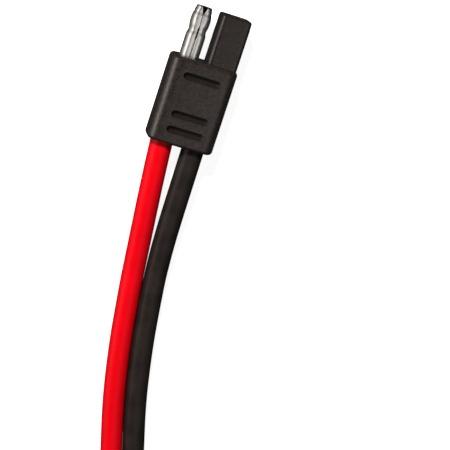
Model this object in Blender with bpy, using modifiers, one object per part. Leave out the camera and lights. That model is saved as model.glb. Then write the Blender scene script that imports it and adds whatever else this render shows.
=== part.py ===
"""Two-pole flat connector with a red and a black lead, built as its separate pieces.

The connector lies on its broad face. +Y is the mating direction, +X runs from the pin to the
socket tower and +Z is up. The origin is on the resting surface, below the connector's centre.
Lengths here are in millimetres, and MM turns them into Blender's metres.
"""

import math

import bmesh
import bpy
from mathutils import Vector

MM = 0.001
CLEARANCE = 0.3  # between neighbouring pieces

# Driving dimensions of the connector
OVERALL_LENGTH = 35.4
GRIP_WIDTH = 17.4
GRIP_THICKNESS = 10.6
GRIP_LENGTH = 22.2
GRIP_SIDE_RADIUS = 3.0
GRIP_END_RADIUS = 1.0
CONTACT_PITCH = 8.4

PIN_TIP_Y = OVERALL_LENGTH / 2
REAR_Y = -OVERALL_LENGTH / 2
FRONT_Y = REAR_Y + GRIP_LENGTH
AXIS_Z = GRIP_THICKNESS / 2
PIN_X = -CONTACT_PITCH / 2
SOCKET_X = CONTACT_PITCH / 2

# Grip slots: stadium recesses in both broad faces
SLOT_LENGTH = 9.5
SLOT_WIDTH = 1.7
SLOT_DEPTH = 1.2
SLOTS_FROM_FRONT = (4.25, 14.2, 18.25)

# Inner moulding that spaces the two contacts and carries the socket tower
CARRIER_WIDTH = 15.0
CARRIER_HEIGHT = 6.6
CARRIER_FRONT_Y = 2.0
CARRIER_REAR_Y = -6.5
CARRIER_RADIUS = 1.0
NECK_SIDE = 6.0
TOWER_WIDTH = 7.8
TOWER_HEIGHT = 7.8
TOWER_RADIUS = 1.2
TOWER_END_RADIUS = 0.6
TOWER_TIP_Y = PIN_TIP_Y - 0.1
TOWER_MOUTH_RADIUS = 2.8
TOWER_LIP = 1.2  # depth of the mouth's lip in front of the socket terminal

# Terminals, rolled from sheet
PIN_RADIUS = 2.55
PIN_SHEET = 0.45
PIN_SHOULDER_Y = 0.0  # where the pin starts to narrow to its barrel
PIN_NOTCH_LENGTH = 2.2
PIN_NOTCH_WIDTHS = (1.4, 0.2)  # at the tip and at the notch's end
PIN_SLIT_SPAN = (5.6, 8.4)  # the open stretch of the seam, measured from the tip
PIN_GROOVE_SPAN = (2.6, 14.7)  # the seam's shallow groove, measured from the tip
PIN_SEAM_WIDTH = 0.35
PIN_GROOVE_DEPTH = 0.25
SOCKET_INNER_RADIUS = 2.6
SOCKET_SHEET = 0.4
SOCKET_TIP_Y = TOWER_TIP_Y - TOWER_LIP - CLEARANCE
SOCKET_THROAT_Y = 5.9  # where the socket starts to narrow to its shank
SOCKET_SHANK_Y = 4.9
SOCKET_SEAM = 0.5
SHANK_RADIUS = 2.1
SHANK_END_Y = -1.0
BARREL_RADIUS = 2.2
BARREL_FRONT_Y = -1.5
BARREL_REAR_Y = -6.0

# Leads
LEAD_DIAMETER = 5.6
JACKET_WALL = 1.0
CONDUCTOR_DIAMETER = 2.9
CONDUCTOR_FRONT_Y = -1.0
JACKET_FRONT_Y = CARRIER_REAR_Y - CLEARANCE
LEAD_LENGTH = 265.0  # from the rear face to the end of the bare strands
STRIPPED_LENGTH = 6.0
STATION_STEP = 6.8
STRAIGHT_BEFORE = 5.0  # how far a lead runs straight before it leaves the grip
ON_FLOOR = LEAD_DIAMETER / 2 + 0.05
SIDE_BY_SIDE = (LEAD_DIAMETER + CLEARANCE) / 2

# Tie round the four runs of the folded leads
TIE_Y = -125.5
TIE_WIDTH = 3.6
TIE_THICKNESS = 1.1
TIE_HEAD = (5.4, 5.0, 3.6)
TIE_HEAD_RADIUS = 0.8
TIE_HEAD_END_RADIUS = 0.25
TIE_TAIL = (1.1, 3.2, 2.4)
TIE_TAIL_RADIUS = 0.2
IN_TIE = ON_FLOOR + TIE_THICKNESS + CLEARANCE

# Route of the line midway between the two leads, as x, y, z and half the leads' spacing.
# It goes down one side of a loop and comes back up beside itself, through the tie.
ROUTE_GOES_X = 14.9
ROUTE_RETURNS_X = 26.7
EXIT = (0.0, REAR_Y, AXIS_Z, CONTACT_PITCH / 2)
ROUTE = (
    EXIT,
    (0.2, -22.5, 5.3, 4.05),
    (0.7, -31.0, 5.0, 3.7),
    (1.3, -39.0, 4.2, 3.35),
    (2.0, -47.0, 3.4, 3.08),
    (2.8, -55.0, 2.9, 2.97),
    (3.8, -63.0, ON_FLOOR, SIDE_BY_SIDE),
    (4.9, -71.0, ON_FLOOR, SIDE_BY_SIDE),
    (6.3, -79.0, ON_FLOOR, SIDE_BY_SIDE),
    (7.9, -87.0, ON_FLOOR, SIDE_BY_SIDE),
    (9.9, -95.0, ON_FLOOR, SIDE_BY_SIDE),
    (12.0, -102.5, ON_FLOOR, SIDE_BY_SIDE),
    (13.8, -110.0, ON_FLOOR, SIDE_BY_SIDE),
    (14.7, -116.5, 3.5, SIDE_BY_SIDE),
    (ROUTE_GOES_X, -122.0, IN_TIE, SIDE_BY_SIDE),
    (ROUTE_GOES_X, -129.0, IN_TIE, SIDE_BY_SIDE),
    (14.1, -134.6, 3.7, SIDE_BY_SIDE),
    (11.7, -139.8, 3.1, SIDE_BY_SIDE),
    (8.0, -144.1, ON_FLOOR, SIDE_BY_SIDE),
    (3.7, -149.2, ON_FLOOR, SIDE_BY_SIDE),
    (1.1, -157.4, ON_FLOOR, SIDE_BY_SIDE),
    (2.2, -165.9, ON_FLOOR, SIDE_BY_SIDE),
    (6.8, -173.1, ON_FLOOR, SIDE_BY_SIDE),
    (14.0, -177.7, ON_FLOOR, SIDE_BY_SIDE),
    (20.8, -178.9, ON_FLOOR, SIDE_BY_SIDE),
    (27.6, -177.7, ON_FLOOR, SIDE_BY_SIDE),
    (34.8, -173.1, ON_FLOOR, SIDE_BY_SIDE),
    (39.4, -165.9, ON_FLOOR, SIDE_BY_SIDE),
    (40.5, -157.4, ON_FLOOR, SIDE_BY_SIDE),
    (37.9, -149.2, ON_FLOOR, SIDE_BY_SIDE),
    (33.6, -144.1, ON_FLOOR, SIDE_BY_SIDE),
    (29.9, -139.8, 3.1, SIDE_BY_SIDE),
    (27.5, -134.6, 3.7, SIDE_BY_SIDE),
    (ROUTE_RETURNS_X, -129.0, IN_TIE, SIDE_BY_SIDE),
    (ROUTE_RETURNS_X, -122.0, IN_TIE, SIDE_BY_SIDE),
    (27.6, -115.6, 3.5, SIDE_BY_SIDE),
    (30.2, -109.6, ON_FLOOR, SIDE_BY_SIDE),
    (35.0, -104.6, ON_FLOOR, SIDE_BY_SIDE),
    (41.0, -101.6, ON_FLOOR, SIDE_BY_SIDE),
)

# How finely things are drawn
SHARP_ANGLE = math.radians(35)
WELD_DISTANCE = 0.000001  # in metres
PAST_FACE = 2.0  # how far a cutter runs past the face that it opens
OVERLAP = 1.0  # how far one joined body reaches into the next
TERMINAL_STEPS = 24
GRIP_CORNER_STEPS = 5
TOWER_CORNER_STEPS = 3
SMALL_CORNER_STEPS = 2
END_STEPS = 2
SLOT_END_STEPS = 6
STRAP_END_STEPS = 8
SPLINE_STEPS = 24
JACKET_RESOLUTION = 4
CONDUCTOR_RESOLUTION = 2

# Linear colours
SOFT_BLACK = (0.040, 0.034, 0.031)
HARD_BLACK = (0.030, 0.026, 0.024)
TIN = (0.78, 0.77, 0.75)
COPPER = (0.85, 0.44, 0.26)
RED = (0.80, 0.006, 0.012)
TIE_BLACK = (0.020, 0.020, 0.020)


def clear_scene():
    for thing in list(bpy.data.objects):
        bpy.data.objects.remove(thing, do_unlink=True)


def new_collection(name):
    collection = bpy.data.collections.new(name)
    bpy.context.scene.collection.children.link(collection)
    return collection


def new_material(name, colour, roughness, metallic=0.0):
    material = bpy.data.materials.new(name)
    material.use_nodes = True
    shader = material.node_tree.nodes["Principled BSDF"]
    shader.inputs["Base Color"].default_value = (*colour, 1.0)
    shader.inputs["Roughness"].default_value = roughness
    shader.inputs["Metallic"].default_value = metallic
    return material


def new_object(name, mesh, collection, material=None):
    thing = bpy.data.objects.new(name, mesh)
    collection.objects.link(thing)
    if material is not None:
        mesh.materials.append(material)
    return thing


def mesh_of(bm, name):
    """The finished mesh, shaded smooth but for its sharp edges."""
    mesh = bpy.data.meshes.new(name)
    bm.to_mesh(mesh)
    bm.free()
    mesh.shade_smooth()
    mesh.set_sharp_from_angle(angle=SHARP_ANGLE)
    return mesh


def hide_cutter(cutter):
    cutter.hide_render = True
    cutter.display_type = "WIRE"
    return cutter


def combine(target, other, operation):
    boolean = target.modifiers.new(other.name, "BOOLEAN")
    boolean.operation = operation
    boolean.solver = "EXACT"
    boolean.object = other


def rounded_block(name, centre, size, side_radius, end_radius, steps, collection, material=None):
    """A block whose edges along Y have side_radius and whose two ends have end_radius."""
    bm = bmesh.new()
    bmesh.ops.create_cube(bm, size=1)
    bmesh.ops.scale(bm, vec=Vector(size) * MM, verts=bm.verts)
    half_length = size[1] * MM / 2
    along = [e for e in bm.edges if abs(e.verts[0].co.y - e.verts[1].co.y) > half_length]
    bmesh.ops.bevel(
        bm, geom=along, offset=side_radius * MM, segments=steps, profile=0.5, affect="EDGES"
    )
    if end_radius:
        bm.normal_update()
        rims = [e for e in bm.edges if any(abs(f.normal.y) > 0.99 for f in e.link_faces)]
        bmesh.ops.bevel(
            bm, geom=rims, offset=end_radius * MM, segments=END_STEPS, profile=0.5, affect="EDGES"
        )
    block = new_object(name, mesh_of(bm, name), collection, material)
    block.location = Vector(centre) * MM
    return block


def turned(name, profile, closed, x, collection, material=None):
    """Turns a profile of (y, radius) points, front to back, about the contact axis at x."""
    mesh = bpy.data.meshes.new(name)
    count = len(profile)
    edges = [(i, i + 1) for i in range(count - 1)]
    if closed:
        edges.append((count - 1, 0))
    mesh.from_pydata([(r * MM, 0.0, y * MM) for y, r in profile], edges, [])
    piece = new_object(name, mesh, collection, material)
    piece.location = (x * MM, 0.0, AXIS_Z * MM)
    piece.rotation_euler = (-math.pi / 2, 0.0, 0.0)
    screw = piece.modifiers.new("turn", "SCREW")
    screw.axis = "Z"
    screw.angle = math.tau
    screw.steps = TERMINAL_STEPS
    screw.render_steps = TERMINAL_STEPS
    screw.use_smooth_shade = True
    screw.use_merge_vertices = True
    screw.merge_threshold = WELD_DISTANCE
    return piece


def sheet_profile(outside, thickness):
    """A closed profile for rolled sheet: down the outside, then back up the inside."""
    return list(outside) + [(y, r - thickness) for y, r in reversed(outside)]


def mesh_from_curve(curve, name, collection, material=None):
    """Turns a curve object into a welded mesh object in the same place."""
    collection.objects.link(curve)
    bpy.context.view_layer.update()
    evaluated = curve.evaluated_get(bpy.context.evaluated_depsgraph_get())
    bm = bmesh.new()
    bm.from_mesh(bpy.data.meshes.new_from_object(evaluated))
    bmesh.ops.remove_doubles(bm, verts=bm.verts, dist=WELD_DISTANCE)
    piece = new_object(name, mesh_of(bm, name), collection, material)
    piece.matrix_world = curve.matrix_world.copy()
    bpy.data.objects.remove(curve, do_unlink=True)
    return piece


def outline_prism(name, points, thickness, collection, material=None):
    """A flat solid inside a closed outline in its own XY plane, half its thickness each way."""
    data = bpy.data.curves.new(name, "CURVE")
    data.dimensions = "2D"
    data.fill_mode = "BOTH"
    data.extrude = thickness * MM / 2
    spline = data.splines.new("POLY")
    spline.points.add(len(points) - 1)
    for point, (x, y) in zip(spline.points, points):
        point.co = (x * MM, y * MM, 0.0, 1.0)
    spline.use_cyclic_u = True
    outline = bpy.data.objects.new(f"{name}_outline", data)
    return mesh_from_curve(outline, name, collection, material)


def stadium(half_run, radius, steps):
    """Points round a stadium whose two straight sides are 2 * half_run long."""
    points = []
    for centre, start in ((half_run, -math.pi / 2), (-half_run, math.pi / 2)):
        for i in range(steps + 1):
            angle = start + math.pi * i / steps
            points.append((centre + radius * math.cos(angle), radius * math.sin(angle)))
    return points


def grip_overmould(parts, cutters, material):
    """The soft outer block: bores for the leads, a pocket for the carrier, slots for grip."""
    middle_y = REAR_Y + GRIP_LENGTH / 2
    grip = rounded_block(
        "grip_overmould",
        (0, middle_y, AXIS_Z),
        (GRIP_WIDTH, GRIP_LENGTH, GRIP_THICKNESS),
        GRIP_SIDE_RADIUS,
        GRIP_END_RADIUS,
        GRIP_CORNER_STEPS,
        parts,
        material,
    )
    pocket_front = CARRIER_FRONT_Y + CLEARANCE
    pocket_rear = CARRIER_REAR_Y - CLEARANCE
    pocket = rounded_block(
        "carrier_pocket",
        (0, (pocket_front + pocket_rear) / 2, AXIS_Z),
        (
            CARRIER_WIDTH + 2 * CLEARANCE,
            pocket_front - pocket_rear,
            CARRIER_HEIGHT + 2 * CLEARANCE,
        ),
        CARRIER_RADIUS + CLEARANCE,
        0,
        SMALL_CORNER_STEPS,
        cutters,
    )
    neck_opening = rounded_block(
        "neck_opening",
        (SOCKET_X, FRONT_Y, AXIS_Z),
        (
            NECK_SIDE + 2 * CLEARANCE,
            2 * (FRONT_Y - CARRIER_FRONT_Y),
            NECK_SIDE + 2 * CLEARANCE,
        ),
        CARRIER_RADIUS + CLEARANCE,
        0,
        SMALL_CORNER_STEPS,
        cutters,
    )
    pin_hole = turned(
        "pin_hole",
        [
            (FRONT_Y + PAST_FACE, 0),
            (FRONT_Y + PAST_FACE, PIN_RADIUS + CLEARANCE),
            (CARRIER_FRONT_Y, PIN_RADIUS + CLEARANCE),
            (CARRIER_FRONT_Y, 0),
        ],
        False,
        PIN_X,
        cutters,
    )
    for tool in (pocket, neck_opening, pin_hole):
        combine(grip, hide_cutter(tool), "DIFFERENCE")
    bore_radius = LEAD_DIAMETER / 2 + CLEARANCE
    for side, x in (("left", PIN_X), ("right", SOCKET_X)):
        bore = turned(
            f"{side}_lead_bore",
            [
                (CARRIER_REAR_Y, 0),
                (CARRIER_REAR_Y, bore_radius),
                (REAR_Y - PAST_FACE, bore_radius),
                (REAR_Y - PAST_FACE, 0),
            ],
            False,
            x,
            cutters,
        )
        combine(grip, hide_cutter(bore), "DIFFERENCE")
    for face, z in (("upper", GRIP_THICKNESS), ("lower", 0.0)):
        for number, distance in enumerate(SLOTS_FROM_FRONT, 1):
            slot = outline_prism(
                f"{face}_slot_{number}",
                stadium((SLOT_LENGTH - SLOT_WIDTH) / 2, SLOT_WIDTH / 2, SLOT_END_STEPS),
                2 * SLOT_DEPTH,
                cutters,
            )
            slot.location = Vector((0, FRONT_Y - distance, z)) * MM
            combine(grip, hide_cutter(slot), "DIFFERENCE")
    return grip


def contact_carrier(parts, cutters, material):
    """The hard inner moulding: a bar round both terminals, a neck and the socket tower."""
    carrier = rounded_block(
        "contact_carrier",
        (0, (CARRIER_FRONT_Y + CARRIER_REAR_Y) / 2, AXIS_Z),
        (CARRIER_WIDTH, CARRIER_FRONT_Y - CARRIER_REAR_Y, CARRIER_HEIGHT),
        CARRIER_RADIUS,
        0,
        SMALL_CORNER_STEPS,
        parts,
        material,
    )
    tower_base = FRONT_Y + CLEARANCE
    neck = rounded_block(
        "carrier_neck",
        (SOCKET_X, (tower_base + CARRIER_FRONT_Y) / 2, AXIS_Z),
        (NECK_SIDE, tower_base - CARRIER_FRONT_Y + OVERLAP, NECK_SIDE),
        CARRIER_RADIUS,
        0,
        SMALL_CORNER_STEPS,
        cutters,
    )
    tower = rounded_block(
        "carrier_tower",
        (SOCKET_X, (TOWER_TIP_Y + tower_base) / 2, AXIS_Z),
        (TOWER_WIDTH, TOWER_TIP_Y - tower_base, TOWER_HEIGHT),
        TOWER_RADIUS,
        TOWER_END_RADIUS,
        TOWER_CORNER_STEPS,
        cutters,
    )
    for body in (neck, tower):
        combine(carrier, hide_cutter(body), "UNION")
    barrel_bore = BARREL_RADIUS + CLEARANCE
    shank_bore = SHANK_RADIUS + CLEARANCE
    rear = CARRIER_REAR_Y - PAST_FACE
    pin_bore = turned(
        "pin_bore",
        [
            (CARRIER_FRONT_Y + PAST_FACE, 0),
            (CARRIER_FRONT_Y + PAST_FACE, PIN_RADIUS + CLEARANCE),
            (PIN_SHOULDER_Y - CLEARANCE, PIN_RADIUS + CLEARANCE),
            (BARREL_FRONT_Y - CLEARANCE, barrel_bore),
            (rear, barrel_bore),
            (rear, 0),
        ],
        False,
        PIN_X,
        cutters,
    )
    socket_outside = SOCKET_INNER_RADIUS + SOCKET_SHEET + CLEARANCE
    socket_bore = turned(
        "socket_bore",
        [
            (TOWER_TIP_Y + PAST_FACE, 0),
            (TOWER_TIP_Y + PAST_FACE, TOWER_MOUTH_RADIUS),
            (TOWER_TIP_Y - TOWER_LIP, TOWER_MOUTH_RADIUS),
            (TOWER_TIP_Y - TOWER_LIP, socket_outside),
            (SOCKET_THROAT_Y - CLEARANCE, socket_outside),
            (SOCKET_SHANK_Y - CLEARANCE, shank_bore),
            (SHANK_END_Y + CLEARANCE, shank_bore),
            (BARREL_FRONT_Y + CLEARANCE, barrel_bore),
            (rear, barrel_bore),
            (rear, 0),
        ],
        False,
        SOCKET_X,
        cutters,
    )
    for tool in (pin_bore, socket_bore):
        combine(carrier, hide_cutter(tool), "DIFFERENCE")
    return carrier


def seam_cutter(name, x, span, widths, low_z, cutters):
    """A wedge above low_z that opens a rolled tube from span's front y to its rear y."""
    top = GRIP_THICKNESS
    (front_y, rear_y), (front_width, rear_width) = span, widths
    outline = [
        (-front_width / 2, front_y),
        (-rear_width / 2, rear_y),
        (rear_width / 2, rear_y),
        (front_width / 2, front_y),
    ]
    cutter = outline_prism(name, outline, top - low_z, cutters)
    cutter.location = Vector((x, 0, (top + low_z) / 2)) * MM
    return hide_cutter(cutter)


def pin_terminal(parts, cutters, material):
    """The bullet pin: rolled sheet with a locking neck, an open seam and a crimp barrel."""
    outside = [
        (PIN_TIP_Y, PIN_RADIUS - 0.5),
        (PIN_TIP_Y - 1.35, PIN_RADIUS - 0.32),
        (PIN_TIP_Y - 2.3, PIN_RADIUS - 0.12),
        (PIN_TIP_Y - 3.3, PIN_RADIUS - 0.05),
        (PIN_TIP_Y - 4.3, PIN_RADIUS - 0.02),
        (PIN_TIP_Y - 5.3, PIN_RADIUS - 0.1),
        (PIN_TIP_Y - 6.3, PIN_RADIUS - 0.22),
        (PIN_TIP_Y - 7.2, PIN_RADIUS - 0.04),
        (PIN_TIP_Y - 8.2, PIN_RADIUS),
        (PIN_SHOULDER_Y, PIN_RADIUS),
        (BARREL_FRONT_Y, BARREL_RADIUS),
        (BARREL_REAR_Y, BARREL_RADIUS),
    ]
    pin = turned("pin_terminal", sheet_profile(outside, PIN_SHEET), True, PIN_X, parts, material)
    tip_width, end_width = PIN_NOTCH_WIDTHS
    flared_width = tip_width + (tip_width - end_width) * PAST_FACE / PIN_NOTCH_LENGTH
    groove_z = AXIS_Z + PIN_RADIUS - PIN_GROOVE_DEPTH
    seams = (
        ("pin_notch", (-PAST_FACE, PIN_NOTCH_LENGTH), (flared_width, end_width), AXIS_Z),
        ("pin_slit", PIN_SLIT_SPAN, (PIN_SEAM_WIDTH, PIN_SEAM_WIDTH), AXIS_Z),
        ("pin_groove", PIN_GROOVE_SPAN, (PIN_SEAM_WIDTH, PIN_SEAM_WIDTH), groove_z),
    )
    for name, (start, end), widths, low_z in seams:
        span = (PIN_TIP_Y - start, PIN_TIP_Y - end)
        combine(pin, seam_cutter(name, PIN_X, span, widths, low_z, cutters), "DIFFERENCE")
    return pin


def socket_terminal(parts, cutters, material):
    """The socket: a rolled spring tube with an open seam, a shank and a crimp barrel."""
    outer = SOCKET_INNER_RADIUS + SOCKET_SHEET
    outside = [
        (SOCKET_TIP_Y, outer),
        (SOCKET_THROAT_Y, outer),
        (SOCKET_SHANK_Y, SHANK_RADIUS),
        (SHANK_END_Y, SHANK_RADIUS),
        (BARREL_FRONT_Y, BARREL_RADIUS),
        (BARREL_REAR_Y, BARREL_RADIUS),
    ]
    profile = sheet_profile(outside, SOCKET_SHEET)
    socket = turned("socket_terminal", profile, True, SOCKET_X, parts, material)
    span = (SOCKET_TIP_Y + PAST_FACE, SOCKET_THROAT_Y)
    widths = (SOCKET_SEAM, SOCKET_SEAM)
    seam = seam_cutter("socket_seam", SOCKET_X, span, widths, AXIS_Z, cutters)
    combine(socket, seam, "DIFFERENCE")
    return socket


def spline_point(before, start, end, after, t):
    """A point on the centripetal Catmull-Rom span from start to end."""
    knots = [0.0]
    for a, b in ((before, start), (start, end), (end, after)):
        knots.append(knots[-1] + math.dist(a[:3], b[:3]) ** 0.5)
    k0, k1, k2, k3 = knots
    at = k1 + t * (k2 - k1)

    def between(p, q, low, high):
        share = (at - low) / (high - low)
        return tuple(u + share * (v - u) for u, v in zip(p, q))

    first = between(before, start, k0, k1)
    second = between(start, end, k1, k2)
    third = between(end, after, k2, k3)
    return between(between(first, second, k0, k2), between(second, third, k1, k3), k1, k2)


def smooth_route(route, step):
    """Points about a step apart on a smooth curve through the route's points."""
    first = (route[0][0], route[0][1] + STRAIGHT_BEFORE, *route[0][2:])
    last = tuple(2 * a - b for a, b in zip(route[-1], route[-2]))
    ends = [first, *route, last]
    fine = []
    for i in range(1, len(ends) - 2):
        span = ends[i - 1 : i + 3]
        fine += [spline_point(*span, k / SPLINE_STEPS) for k in range(SPLINE_STEPS)]
    fine.append(route[-1])
    fine = [(x, y, max(z, ON_FLOOR), half) for x, y, z, half in fine]
    stations, walked = [fine[0]], 0.0
    for a, b in zip(fine, fine[1:]):
        walked += math.dist(a[:3], b[:3])
        if walked >= step:
            stations.append(b)
            walked = 0.0
    return stations


def lead_line(side, length):
    """One lead's centre line from the rear face: side is -1 for the pin's and 1 for the socket's."""
    stations = smooth_route(ROUTE, STATION_STEP)
    line = []
    for i, (x, y, z, half) in enumerate(stations):
        ahead = stations[min(i + 1, len(stations) - 1)]
        behind = stations[max(i - 1, 0)]
        along = Vector((ahead[0] - behind[0], ahead[1] - behind[1]))
        if i == 0:
            along = Vector((0.0, -1.0))
        along.normalize()
        # To the right of a lead that runs towards -Y is -X, so the socket's side is the left.
        line.append(Vector((x - along.y * half * side, y + along.x * half * side, z)))
    cut, walked = [line[0]], 0.0
    for a, b in zip(line, line[1:]):
        span = (b - a).length
        if walked + span >= length:
            cut.append(a.lerp(b, (length - walked) / span))
            break
        walked += span
        cut.append(b)
    return cut


def tube_curve(name, points, radius, resolution, filled):
    data = bpy.data.curves.new(name, "CURVE")
    data.dimensions = "3D"
    data.bevel_depth = radius * MM
    data.bevel_resolution = resolution
    data.use_fill_caps = filled
    spline = data.splines.new("POLY")
    spline.points.add(len(points) - 1)
    for point, place in zip(spline.points, points):
        point.co = (*(Vector(place) * MM), 1.0)
    return bpy.data.objects.new(f"{name}_line", data)


def lead(colour, side, parts, jacket_material, copper):
    """A stranded core, drawn as one rod, inside a tubular jacket that ends short of its tip."""
    x = side * CONTACT_PITCH / 2
    core_points = [Vector((x, CONDUCTOR_FRONT_Y, AXIS_Z)), *lead_line(side, LEAD_LENGTH)]
    core_radius = CONDUCTOR_DIAMETER / 2
    core = tube_curve(
        f"{colour}_conductor", core_points, core_radius, CONDUCTOR_RESOLUTION, True
    )
    mesh_from_curve(core, f"{colour}_conductor", parts, copper)
    jacket_points = [
        Vector((x, JACKET_FRONT_Y, AXIS_Z)),
        *lead_line(side, LEAD_LENGTH - STRIPPED_LENGTH),
    ]
    jacket_radius = LEAD_DIAMETER / 2
    tube = tube_curve(f"{colour}_jacket", jacket_points, jacket_radius, JACKET_RESOLUTION, False)
    jacket = mesh_from_curve(tube, f"{colour}_jacket", parts, jacket_material)
    wall = jacket.modifiers.new("wall", "SOLIDIFY")
    wall.thickness = JACKET_WALL * MM
    wall.offset = -1.0
    wall.use_even_offset = True


def bundle_tie(parts, cutters, material):
    """A nylon tie: a flat strap round the four runs, its head on top and a trimmed tail."""
    middle_x = (ROUTE_GOES_X + ROUTE_RETURNS_X) / 2
    half_run = (ROUTE_RETURNS_X - ROUTE_GOES_X) / 2 + SIDE_BY_SIDE
    inner = LEAD_DIAMETER / 2 + CLEARANCE
    outside = stadium(half_run, inner + TIE_THICKNESS, STRAP_END_STEPS)
    hollow = stadium(half_run, inner, STRAP_END_STEPS)
    tie = outline_prism("bundle_tie", outside, TIE_WIDTH, parts, material)
    inside = outline_prism("tie_inside", hollow, 2 * TIE_WIDTH, cutters)
    for loop in (tie, inside):
        loop.location = Vector((middle_x, TIE_Y, IN_TIE)) * MM
        loop.rotation_euler = (math.pi / 2, 0.0, 0.0)
    head_z = IN_TIE + inner + TIE_THICKNESS / 2
    head = rounded_block(
        "tie_head",
        (middle_x, TIE_Y, head_z + TIE_HEAD[2] / 2),
        TIE_HEAD,
        TIE_HEAD_RADIUS,
        TIE_HEAD_END_RADIUS,
        SMALL_CORNER_STEPS,
        cutters,
    )
    tail = rounded_block(
        "tie_tail",
        (middle_x, TIE_Y, head_z + TIE_HEAD[2]),
        (TIE_TAIL[0], TIE_TAIL[1], 2 * TIE_TAIL[2]),
        TIE_TAIL_RADIUS,
        0,
        1,
        cutters,
    )
    for body in (head, tail):
        combine(tie, hide_cutter(body), "UNION")
    combine(tie, hide_cutter(inside), "DIFFERENCE")
    return tie


def main():
    clear_scene()
    parts = new_collection("solar_cable_connector")
    cutters = new_collection("cutters")
    soft_black = new_material("soft_black_pvc", SOFT_BLACK, 0.45)
    hard_black = new_material("hard_black_plastic", HARD_BLACK, 0.4)
    tin = new_material("plated_brass", TIN, 0.25, 1.0)
    copper = new_material("bare_copper", COPPER, 0.3, 1.0)
    red = new_material("red_pvc", RED, 0.4)
    tie_black = new_material("black_nylon", TIE_BLACK, 0.5)
    grip_overmould(parts, cutters, soft_black)
    contact_carrier(parts, cutters, hard_black)
    pin_terminal(parts, cutters, tin)
    socket_terminal(parts, cutters, tin)
    lead("red", -1, parts, red, copper)
    lead("black", 1, parts, soft_black, copper)
    bundle_tie(parts, cutters, tie_black)


main()
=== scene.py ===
"""Looks of a two-pole flat connector with a red and a black lead.

Every finished piece stands for one CAD node and is built round that node's place in the frame.
+Y is the mating direction, +X runs from the pin to the socket tower and +Z is up. Lengths here
are in millimetres, and MM turns them into metres.
"""

import math
import random

import bmesh
import bpy
from mathutils import Matrix, Vector, noise

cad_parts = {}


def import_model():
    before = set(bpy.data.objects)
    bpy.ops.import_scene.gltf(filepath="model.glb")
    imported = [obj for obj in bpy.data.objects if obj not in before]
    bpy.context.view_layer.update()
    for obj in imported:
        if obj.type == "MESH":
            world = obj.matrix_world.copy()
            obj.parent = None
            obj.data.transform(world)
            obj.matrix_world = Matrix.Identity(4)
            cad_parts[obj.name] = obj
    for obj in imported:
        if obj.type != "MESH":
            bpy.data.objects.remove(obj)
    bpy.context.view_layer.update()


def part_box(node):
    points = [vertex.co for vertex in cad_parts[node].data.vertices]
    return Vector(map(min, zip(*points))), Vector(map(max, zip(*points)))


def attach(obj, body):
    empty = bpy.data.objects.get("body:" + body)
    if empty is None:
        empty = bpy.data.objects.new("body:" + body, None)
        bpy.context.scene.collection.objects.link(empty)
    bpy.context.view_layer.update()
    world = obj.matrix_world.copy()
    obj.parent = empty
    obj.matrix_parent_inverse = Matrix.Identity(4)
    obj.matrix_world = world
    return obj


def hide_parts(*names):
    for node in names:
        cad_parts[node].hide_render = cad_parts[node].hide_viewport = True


MM = 0.001
CLEARANCE = 0.3  # between neighbouring CAD nodes
BODY = "root"

# The camera looks down on the connector from its front left. The distance is a product photo's.
CAMERA_AIM = (18.5, -34.5, 5.3)
CAMERA_DISTANCE = 400.0
CAMERA_AZIMUTH = 227.7
CAMERA_ELEVATION = 73.4
CAMERA_LEAN = 18.54  # how far the mating direction leans to the right in the picture, in degrees
CAMERA_FIELD = 16.64

# Studio: radiances of the surroundings, powers of the three lamps in watts
DIM_ROOM = 0.03
WARM_WHITE = (1.0, 0.96, 0.93)
LEFT_WALL = 2.6
WALL_FADES_IN = (-0.74, -0.94)  # a direction's X where the left wall starts and where it is full
WALL_RISES = (-0.02, 0.26)  # a direction's Z where its light starts to rise and where it is full
FLOOR_BOUNCE = 0.08  # share of the left wall's light that comes from below
SOFT_BOX_POWER = 0.42
METAL_BOX_POWER = 3.2
KEY_POWER = 7.8
FLOOR_GLOW = 0.88
STAGE_RADIUS = 3000.0

# Grip block
GRIP_SIDE_RADIUS = 3.0
GRIP_END_RADIUS = 1.0
GRIP_CROWN = 0.12  # how far the middle of a broad face stands above its edges
GRIP_WAVE = 0.02  # how uneven a broad face is
GRIP_WAVE_LENGTH = 5.0
GRIP_GRID = 0.9  # size of the faces that take the crown and the waves
CROWN_STARTS = 0.6  # share of the half thickness below which nothing is moved
SLOT_LENGTH = 9.5
SLOT_WIDTH = 1.7
SLOT_DEPTH = 1.2
SLOTS_FROM_FRONT = (4.25, 14.2, 18.25)
SLOT_EDGE = 0.18
SLOT_SQUARENESS = 0.7  # 1 gives a half-round bottom, less gives steeper walls and a flatter floor
SLOT_PAINTED_SHADE = 1.5  # times the plastic's dark colour, painted into the slots as their shade
SLOT_SKIN_DULLNESS = 0.5  # added to the plastic's roughness
CONTACT_PITCH = 8.4

# Inner moulding with the socket tower
CARRIER_FRONT_Y = 2.0
CARRIER_REAR_Y = -6.5
CARRIER_WIDTH = 15.0
CARRIER_HEIGHT = 6.6
CARRIER_RADIUS = 1.0
NECK_SIDE = 6.0
TOWER_WIDTH = 7.8
TOWER_HEIGHT = 7.8
TOWER_RADIUS = 1.2
TOWER_END_RADIUS = 0.6
MOUTH_EDGE = 0.25
TOWER_SINK = 0.5  # how far the tower's foot reaches into the grip
MOUTH_RADIUS = 2.8
MOUTH_DEPTH = 1.2

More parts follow.
